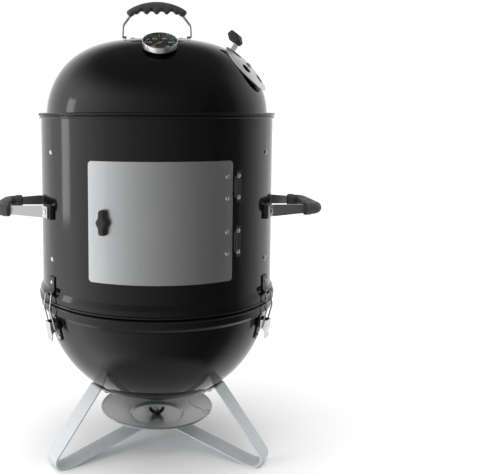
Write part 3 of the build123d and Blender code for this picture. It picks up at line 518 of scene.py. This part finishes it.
class Field:
    """A number that varies over a shape; sums with it add Math nodes."""

    def __init__(self, shape, socket):
        self.shape = shape
        self.socket = socket

    def math(self, operation, *others):
        values = {0: self, **{index + 1: other for index, other in enumerate(others)}}
        return Field(self.shape, self.shape.node("ShaderNodeMath", {"operation": operation}, values).outputs[0])

    def __add__(self, other):
        return self.math("ADD", other)

    __radd__ = __add__

    def __sub__(self, other):
        return self.math("SUBTRACT", other)

    def __rsub__(self, other):
        return (self * -1.0) + other

    def __mul__(self, other):
        return self.math("MULTIPLY", other)

    __rmul__ = __mul__

    def __truediv__(self, other):
        return self.math("DIVIDE", other)

    def cos(self):
        return self.math("COSINE")

    def sin(self):
        return self.math("SINE")

    def size_only(self):
        return self.math("ABSOLUTE")

    def power(self, exponent):
        return self.math("POWER", exponent)

    def sign(self):
        return self.math("SIGN")

    def at_least(self, low):
        return self.math("MAXIMUM", low)

    def rounded_square(self, exponent):
        """Keeps the sign and flattens the wave, which squares up a round section."""
        return self.size_only().power(exponent) * self.sign()


print("shape class ready")

# %% [markdown]
# ## Lid grip
# The grip on the lid is one resin moulding over the bowed wire. Its top is crowned, four finger hollows
# run along its underside, and each end hooks down over the bend of the wire. Its shape follows a rule:
# at every place along its length there is one height for the top and one for the bottom, and the section
# between is a rounded square. So it is a grid whose points are moved by formula, with a wave for the
# hollows. The finger pitch and hollow depth are inputs, as a mould maker would want to change them.

# %% Lid grip
FINGER_PITCH = 0.020
FINGER_HOLLOW = 0.0065
GRIP_CROWN = 0.017       # how far the top falls from the middle to an end
LOBE_DROP = 0.005        # how far an end hooks down
low, high = (Vector(corner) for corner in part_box("lid_handle_grip"))
underside = low.z + 0.0055      # bottom of the teeth between the fingers
half_size = (high - low) / 2
grip = Shape("lid_grip_rule", Length=half_size.x, Width=half_size.y, Pitch=FINGER_PITCH, Hollow=FINGER_HOLLOW)
grid_values = {"Size X": 1.0, "Size Y": 1.0, "Vertices X": 181, "Vertices Y": 49}
grid = grip.node("GeometryNodeMeshGrid", None, grid_values)
along = grip.position("X") * math.pi
round_angle = grip.position("Y") * (2 * math.pi)
x = along.sin() * grip.size("Length")
share = (x / grip.size("Length")).size_only()
top = high.z - share.power(2.0) * GRIP_CROWN
inside = (1.0 - (share / 0.70).power(10.0)).at_least(0.0)
waves = (1.0 - (x * (2 * math.pi) / grip.size("Pitch")).cos()) * 0.5
end_lobe = 1.0 - ((share - 0.87) / 0.13).power(2.0).at_least(0.0)
bottom = underside + waves * inside * grip.size("Hollow") - end_lobe.at_least(0.0) * LOBE_DROP
shrink = (1.0 - share.power(14.0)).at_least(0.0).power(0.30)
half = (top - bottom) * 0.5 * shrink
y = round_angle.cos().rounded_square(0.72) * grip.size("Width") * shrink * (1.0 - share.power(4.0) * 0.12)
z = (top + bottom) * 0.5 + round_angle.sin().rounded_square(0.78) * half
moved_values = {"Geometry": grid.outputs["Mesh"], "Position": grip.vector(x, y, z)}
moved = grip.node("GeometryNodeSetPosition", None, moved_values)
merge_values = {"Geometry": moved.outputs[0], "Distance": 0.00002}
closed = grip.node("GeometryNodeMergeByDistance", None, merge_values)
lid_grip = grip.build("lid_grip", closed.outputs[0], grip_resin)


def face_outward(piece):
    shape = bmesh.new()
    shape.from_mesh(piece.data)
    bmesh.ops.recalc_face_normals(shape, faces=shape.faces)
    if shape.calc_volume(signed=True) < 0:
        bmesh.ops.reverse_faces(shape, faces=shape.faces)
    open_edges = sum(1 for edge in shape.edges if len(edge.link_faces) != 2)
    shape.to_mesh(piece.data)
    shape.free()
    print(piece.name, "faces", len(piece.data.polygons), "open edges", open_edges)


face_outward(lid_grip)
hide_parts("lid_handle_grip")
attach(lid_grip, "lid")

# %% [markdown]
# ## Side grips
# A half-shell of resin is clipped over each flat handle strap. In the hand it is a tube that follows the
# strap's bend, a little slimmer than its collars, so that the hand sits between them. A ring of points is
# carried along the bent path, and its radius steps at each collar.

# %% Side grips
GRIP_CORNERS = [(0.284, 0.0749), (0.312, 0.066), (0.312, -0.066), (0.284, -0.0749)]
GRIP_BEND = 0.020
COLLAR_LENGTH = 0.013
COLLAR_STEP = 0.10       # share of the radius that the hand part is slimmer by
END_ROUNDING = 0.003
RING_POINTS = 40
PATH_STEP = 0.0012


def bent_path(corners, bend, step):
    """Points along straight runs joined by arcs, about a step apart."""
    places = [Vector(corner) for corner in corners]
    outline = [places[0]]
    for before, corner, after in zip(places, places[1:], places[2:]):
        inward = (before - corner).normalized()
        onward = (after - corner).normalized()
        half_angle = inward.angle(onward) / 2
        reach = bend / math.tan(half_angle)
        centre = corner + (inward + onward).normalized() * (bend / math.sin(half_angle))
        start = corner + inward * reach - centre
        end = corner + onward * reach - centre
        for share in range(9):
            outline.append(centre + start.lerp(end, share / 8).normalized() * bend)
    outline.append(places[-1])
    path = []
    for first, second in zip(outline, outline[1:]):
        pieces = max(1, round((second - first).length / step))
        path += [first.lerp(second, share / pieces) for share in range(pieces)]
    return path + [outline[-1]]


def side_grip(name, side, node):
    low, high = (Vector(corner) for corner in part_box(node))
    middle = (low.z + high.z) / 2
    radius = (high.z - low.z) / 2
    path = bent_path(GRIP_CORNERS, GRIP_BEND, PATH_STEP)
    length = sum((b - a).length for a, b in zip(path, path[1:]))
    rings = []
    travelled = 0.0
    for index, place in enumerate(path):
        travelled += (place - path[index - 1]).length if index else 0.0
        ahead = (path[min(index + 1, len(path) - 1)] - path[max(index - 1, 0)]).normalized()
        across = Vector((ahead.y, -ahead.x))
        to_end = min(travelled, length - travelled)
        rounding = min(1.0, max(0.0, to_end / END_ROUNDING))
        girth = radius * (0.80 + 0.20 * math.sqrt(1 - (1 - rounding) ** 2))
        if to_end > COLLAR_LENGTH:
            girth *= 1.0 - COLLAR_STEP * min(1.0, (to_end - COLLAR_LENGTH) / PATH_STEP)
        palm = 1.0 + 0.05 * max(0.0, 1 - abs(travelled / length - 0.5) / 0.35)
        ring = []
        for part in range(RING_POINTS):
            angle = 2 * math.pi * part / RING_POINTS
            out = place + across * (math.cos(angle) * girth * palm)
            ring.append((side * out.x, out.y, middle + math.sin(angle) * girth))
        rings.append(ring)
    piece = solid_from_rings(name, rings, grip_resin)
    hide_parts(node)
    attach(piece, "stand")
    print(name, "length", round(length, 3))
    return piece


side_grip("right_grip", 1, "right_handle_grip")
side_grip("left_grip", -1, "left_handle_grip")

# %% [markdown]
# ## Door knob
# The knob is turned with two fingers, so it is a tall wing with a round hub that bulges at its middle. It
# is moulded in one piece with soft edges. The outline is drawn once as half width against height, and
# is then carried outward through rings that draw in as they rise, like a cushion.

# %% Door knob
DOOR_FACE_R = 0.2329
KNOB_HALF_HEIGHT = 0.0225
KNOB_PROFILE = [(1.0, 0.0004), (1.0, 0.0070), (0.985, 0.0090), (0.94, 0.0112), (0.86, 0.0128), (0.70, 0.0139),
                (0.45, 0.0143), (0.20, 0.0144)]


def wing_outline(half_height, wing, flare, hub, count=36):
    """Closed outline of a wing with a round hub; x runs along the wing."""
    side = []
    for step in range(count + 1):
        share = -math.cos(math.pi * step / count)
        across = wing + flare * share ** 4 + hub * math.exp(-(share / 0.36) ** 2)
        ends = (1 - abs(share) ** 9) ** (1 / 3) if abs(share) < 1 else 0.0
        side.append((share * half_height, across * ends))
    return side[:-1] + [(x, -y) for x, y in reversed(side[1:])]


place = surface_frame("door_latch_turn")
if (place.to_3x3() @ Vector((0, 0, 1))).y > 0:
    place = surface_frame("door_latch_turn", -1.0)
base = Vector(JOINTS["door_latch_turn"]["pos_m"])
below_joint = DOOR_FACE_R - math.hypot(base.x, base.y)
outline = wing_outline(KNOB_HALF_HEIGHT, wing=0.0058, flare=0.0016, hub=0.0058)
rings = []
for scale, height in KNOB_PROFILE:
    rings.append([place @ Vector((x * scale, y * scale, height + below_joint)) for x, y in outline])
door_knob_piece = solid_from_rings("door_wing_knob", rings, knob_resin)
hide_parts("door_knob")
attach(door_knob_piece, "door_latch")

# %% [markdown]
# ## Vent knob
# The vent's tab is too hot to touch, so a six-sided resin knob is pushed over it. It is a prism with flat
# facets and small moulded radii, made by rounding every edge of the prism with a bevel.

# %% Vent knob
VENT_KNOB_OUTLINE = [(-0.016, 0.006), (-0.017, -0.005), (-0.002, -0.010),
                     (0.016, -0.004), (0.016, 0.004), (0.002, 0.010)]
VENT_KNOB_HALF = 0.009
VENT_TAB_TURN = math.radians(-25.0)
VENT_KNOB_PLACE = (-0.072, 0, 0.013)
tab_turn = Matrix.Rotation(VENT_TAB_TURN, 4, "Z") @ Matrix.Translation(VENT_KNOB_PLACE)
turned = surface_frame("vent_turn") @ tab_turn
shape = bmesh.new()
for side in (-VENT_KNOB_HALF, VENT_KNOB_HALF):
    for x, z in VENT_KNOB_OUTLINE:
        shape.verts.new((x, side, z))
shape.verts.ensure_lookup_table()
shape.faces.new([shape.verts[index] for index in range(6)])
shape.faces.new([shape.verts[index + 6] for index in reversed(range(6))])
for index in range(6):
    after = (index + 1) % 6
    shape.faces.new([shape.verts[corner] for corner in (after, index, index + 6, after + 6)])
bmesh.ops.bevel(shape, geom=shape.edges[:], offset=0.0022, segments=4, profile=0.55, affect="EDGES")
bmesh.ops.recalc_face_normals(shape, faces=shape.faces)
bmesh.ops.transform(shape, matrix=turned, verts=shape.verts)
mesh = bpy.data.meshes.new("vent_knob")
shape.to_mesh(mesh)
shape.free()
vent_knob = new_piece("vent_knob", mesh, knob_resin)
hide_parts("lid_vent_knob")
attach(vent_knob, "vent")
print("vent knob faces", len(mesh.polygons))

# %% [markdown]
# ## Thermometer marks
# The dial is printed with a ring of marks, every fifth one longer, and numbers. The marks repeat at equal
# angles, so they are instances of one small plate on a line of points bent round the dial. The numbers
# are text turned to mesh, laid in the plane of the dial.

# %% Dial marks
DIAL_MARKS = 51
DIAL_SWEEP = 270.0
DIAL_MARK_R = 0.0262
DIAL_HEIGHT = 0.00812
MARK_LENGTH = 0.0022
MARK_WIDTH = 0.00042
MARK_THICK = 0.00012
ticks = Shape("dial_tick_rule", Count=DIAL_MARKS, Radius=DIAL_MARK_R, Sweep=math.radians(DIAL_SWEEP),
              Length=MARK_LENGTH)
line = ticks.node("GeometryNodeMeshLine", None, {"Count": ticks.size("Count")})
number = Field(ticks, ticks.node("GeometryNodeInputIndex").outputs[0])
bearing_of = ticks.size("Sweep") * (number / (ticks.size("Count") - 1.0) - 0.5)
across, upward_place = bearing_of.sin() * ticks.size("Radius"), bearing_of.cos() * ticks.size("Radius")
bent_values = {"Geometry": line.outputs[0], "Position": ticks.vector(across, upward_place, DIAL_HEIGHT)}
bent = ticks.node("GeometryNodeSetPosition", None, bent_values)
fifth = (number.math("MODULO", 5.0) * -1.0 + 1.0).at_least(0.0)
plate_size = ticks.vector(MARK_WIDTH, ticks.size("Length"), MARK_THICK)
plate = ticks.node("GeometryNodeMeshCube", None, {"Size": plate_size})
spread = ticks.node("GeometryNodeInstanceOnPoints", None, {
    "Points": bent.outputs[0], "Instance": plate.outputs["Mesh"],
    "Rotation": ticks.vector(0.0, 0.0, bearing_of * -1.0),
    "Scale": ticks.vector(fifth * 0.9 + 1.0, fifth * 0.8 + 1.0, 1.0)})
dial_ticks = ticks.build("dial_ticks", spread.outputs[0], dial_white, smooth=False)

dial = surface_frame("needle_turn", -1.0)
reading = dial @ Matrix(((0, -1, 0, 0), (1, 0, 0, 0), (0, 0, 1, 0), (0, 0, 0, 1)))
dial_ticks.data.transform(reading)


def dial_number(text, bearing, radius, height):
    """A printed number in the dial's plane."""
    curve = bpy.data.curves.new("number", "FONT")
    curve.body = text
    curve.size = height
    curve.align_x = "CENTER"
    curve.align_y = "CENTER"
    curve.extrude = 0.00004
    letters = bpy.data.objects.new("number", curve)
    bpy.context.scene.collection.objects.link(letters)
    bpy.context.view_layer.update()
    mesh = bpy.data.meshes.new_from_object(letters.evaluated_get(bpy.context.evaluated_depsgraph_get()))
    bpy.data.objects.remove(letters)
    where = Vector((math.sin(bearing) * radius, math.cos(bearing) * radius, DIAL_HEIGHT + 0.00002))
    mesh.transform(reading @ Matrix.Translation(where))
    return mesh


marks = bmesh.new()
marks.from_mesh(dial_ticks.data)
for step in range(6):
    bearing = math.radians(DIAL_SWEEP * (step / 5 - 0.5))
    numeral = dial_number(str(100 + 50 * step), bearing, radius=0.0190, height=0.0062)
    marks.from_mesh(numeral)
marks.to_mesh(dial_ticks.data)
marks.free()
dial_ticks.data.materials.clear()
dial_ticks.data.materials.append(dial_white)
for face in dial_ticks.data.polygons:
    face.material_index = 0
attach(dial_ticks, "lid")
print("dial marks", DIAL_MARKS)

# %% [markdown]
# ## The studio
# The camera stands in front, a little above the middle of the smoker, and looks slightly down. The enamel
# is a black mirror, so what it shows is the room. The room is therefore painted by compass direction: dark
# in front where the camera is, brighter to the left, palest behind. The camera itself sees plain white,
# which the pale floor runs out into.

# %% Camera
CAMERA_DISTANCE = 1.390
CAMERA_HEIGHT = 0.672
CAMERA_AZIMUTH = math.radians(-2.0)
CAMERA_TILT = math.radians(5.16)
camera = bpy.data.objects.new("camera", bpy.data.cameras.new("camera"))
bpy.context.scene.collection.objects.link(camera)
camera_x = CAMERA_DISTANCE * math.sin(CAMERA_AZIMUTH)
camera_y = -CAMERA_DISTANCE * math.cos(CAMERA_AZIMUTH)
camera.location = (camera_x, camera_y, CAMERA_HEIGHT)
camera.rotation_euler = (math.pi / 2 - CAMERA_TILT, 0.0, CAMERA_AZIMUTH)
camera.data.sensor_width = 36.0
camera.data.lens = 49.47
camera.data.shift_x = 0.1865
camera.data.shift_y = -0.115
camera.data.clip_end = 80.0
bpy.context.scene.camera = camera
print("camera at", tuple(round(value, 3) for value in camera.location))

# %% Room
scene = bpy.context.scene
scene.view_settings.view_transform = "Standard"
room = bpy.data.worlds.new("room")
scene.world = room
room.use_nodes = True
room.node_tree.nodes.clear()


def room_node(kind, settings=None, values=None):
    made = room.node_tree.nodes.new(kind)
    for key, value in (settings or {}).items():
        if key == "stops":
            ramp = made.color_ramp
            while len(ramp.elements) < len(value):
                ramp.elements.new(1.0)
            for element, (position, grey) in zip(ramp.elements, value):
                element.position = position
                element.color = (grey, grey, grey, 1.0)
        else:
            setattr(made, key, value)
    for key, value in (values or {}).items():
        if isinstance(value, bpy.types.NodeSocket):
            room.node_tree.links.new(value, made.inputs[key])
        else:
            made.inputs[key].default_value = value
    return made


# %% [markdown]
# The brightness of the walls is a table of compass bearings from the front, in degrees: minus is left.
# Far below the horizon the shells mirror the pale ground, and straight up the ceiling is dim.

# %% Walls, ceiling and ground
WALLS = [(-180, 0.95), (-120, 1.05), (-92, 1.6), (-68, 1.25), (-48, 0.80), (-22, 0.45), (5, 0.26), (32, 0.13),
         (58, 0.07), (82, 0.12), (98, 0.5), (120, 0.9), (180, 0.95)]
CEILING = 0.13
GROUND = 0.42
direction = room_node("ShaderNodeTexCoord").outputs["Generated"]
split = room_node("ShaderNodeSeparateXYZ", None, {0: direction})
ahead = room_node("ShaderNodeMath", {"operation": "MULTIPLY"}, {0: split.outputs["Y"], 1: -1.0})
bearing = room_node("ShaderNodeMath", {"operation": "ARCTAN2"}, {0: split.outputs["X"], 1: ahead.outputs[0]})
turn = room_node("ShaderNodeMath", {"operation": "MULTIPLY_ADD"},
                 {0: bearing.outputs[0], 1: 0.5 / math.pi, 2: 0.5})
walls = room_node("ShaderNodeValToRGB", {"stops": [(angle / 360 + 0.5, grey) for angle, grey in WALLS]},
                  {0: turn.outputs[0]})


def height_step(low, high):
    """0 to 1 as a direction climbs, or falls, from one height to the other."""
    values = {"Value": split.outputs["Z"], "From Min": low, "From Max": high, "To Min": 0.0, "To Max": 1.0}
    return room_node("ShaderNodeMapRange", {"interpolation_type": "SMOOTHSTEP"}, values).outputs[0]


def blended(amount, first, second):
    """Mix of two greys or colours in the room."""
    made = room.node_tree.nodes.new("ShaderNodeMix")
    made.data_type = "FLOAT"
    for index, value in ((0, amount), (2, first), (3, second)):
        if isinstance(value, bpy.types.NodeSocket):
            room.node_tree.links.new(value, made.inputs[index])
        else:
            made.inputs[index].default_value = value
    return made.outputs[0]


sky = blended(height_step(0.34, 0.80), walls.outputs[0], CEILING)
mirrored_room = blended(height_step(-0.80, -0.90), sky, GROUND)
seen = room_node("ShaderNodeLightPath")
reflected = room_node("ShaderNodeBackground", None, {"Strength": mirrored_room})
ambient = room_node("ShaderNodeBackground", None, {"Strength": 0.50})
backdrop = room_node("ShaderNodeBackground", None, {"Strength": 1.0})
for shade in (reflected, ambient, backdrop):
    shade.inputs["Color"].default_value = (1.0, 1.0, 1.0, 1.0)
lit = room_node("ShaderNodeMixShader", None,
                {0: seen.outputs["Is Diffuse Ray"], 1: reflected.outputs[0], 2: ambient.outputs[0]})
whole = room_node("ShaderNodeMixShader", None,
                  {0: seen.outputs["Is Camera Ray"], 1: lit.outputs[0], 2: backdrop.outputs[0]})
room_node("ShaderNodeOutputWorld", None, {"Surface": whole.outputs[0]})
print("room ready")


# %% [markdown]
# Three lamps do the rest. A wide soft sun overhead lights the floor evenly out to the horizon and leaves a
# soft shadow under the smoker. A soft box on the left models the grips and the matt metal, and is hidden
# from reflections as the sun is. A small glow further round the left does show in the enamel.

# %% Lamps
def lamp_object(name, kind, power, mirrored):
    data = bpy.data.lights.new(name, kind)
    data.energy = power
    lamp = bpy.data.objects.new(name, data)
    bpy.context.scene.collection.objects.link(lamp)
    lamp.visible_camera = False
    lamp.visible_glossy = mirrored
    return lamp


def soft_box(name, azimuth, distance, height, size, power, aim=(0, 0, 0.45), mirrored=True):
    """Rectangular lamp at an azimuth from the front, turned to the smoker."""
    lamp = lamp_object(name, "AREA", power, mirrored)
    lamp.data.shape = "RECTANGLE"
    lamp.data.size, lamp.data.size_y = size
    angle = math.radians(azimuth)
    lamp.location = (distance * math.sin(angle), -distance * math.cos(angle), height)
    lamp.rotation_euler = (Vector(aim) - lamp.location).to_track_quat("-Z", "Y").to_euler()
    return lamp


sun = lamp_object("sun", "SUN", 2.3, False)
sun.data.angle = math.radians(70)
soft_box("left_fill", -62, 2.4, 1.1, (1.2, 1.6), 26, mirrored=False)
soft_box("left_glow", -96, 2.6, 0.75, (0.5, 1.3), 5)
print("lamps ready")

# %% Floor
FLOOR_HALF = 30.0
floor_mesh = bpy.data.meshes.new("floor")
corners = [(-1, -1), (1, -1), (1, 1), (-1, 1)]
floor_mesh.from_pydata([(x * FLOOR_HALF, y * FLOOR_HALF, 0.0) for x, y in corners], [], [(0, 1, 2, 3)])
floor = bpy.data.objects.new("floor", floor_mesh)
scene.collection.objects.link(floor)
floor.visible_glossy = False
floor_paint = Finish("floor_paint")
tone = floor_paint.noise(0.8, 2)
floor_colour = floor_paint.tint(tone, (0.90, 0.90, 0.90), (0.92, 0.92, 0.92))
floor_mesh.materials.append(floor_paint.surface(Base_Color=floor_colour, Roughness=0.9, Specular_IOR_Level=0.0))
print("studio ready")
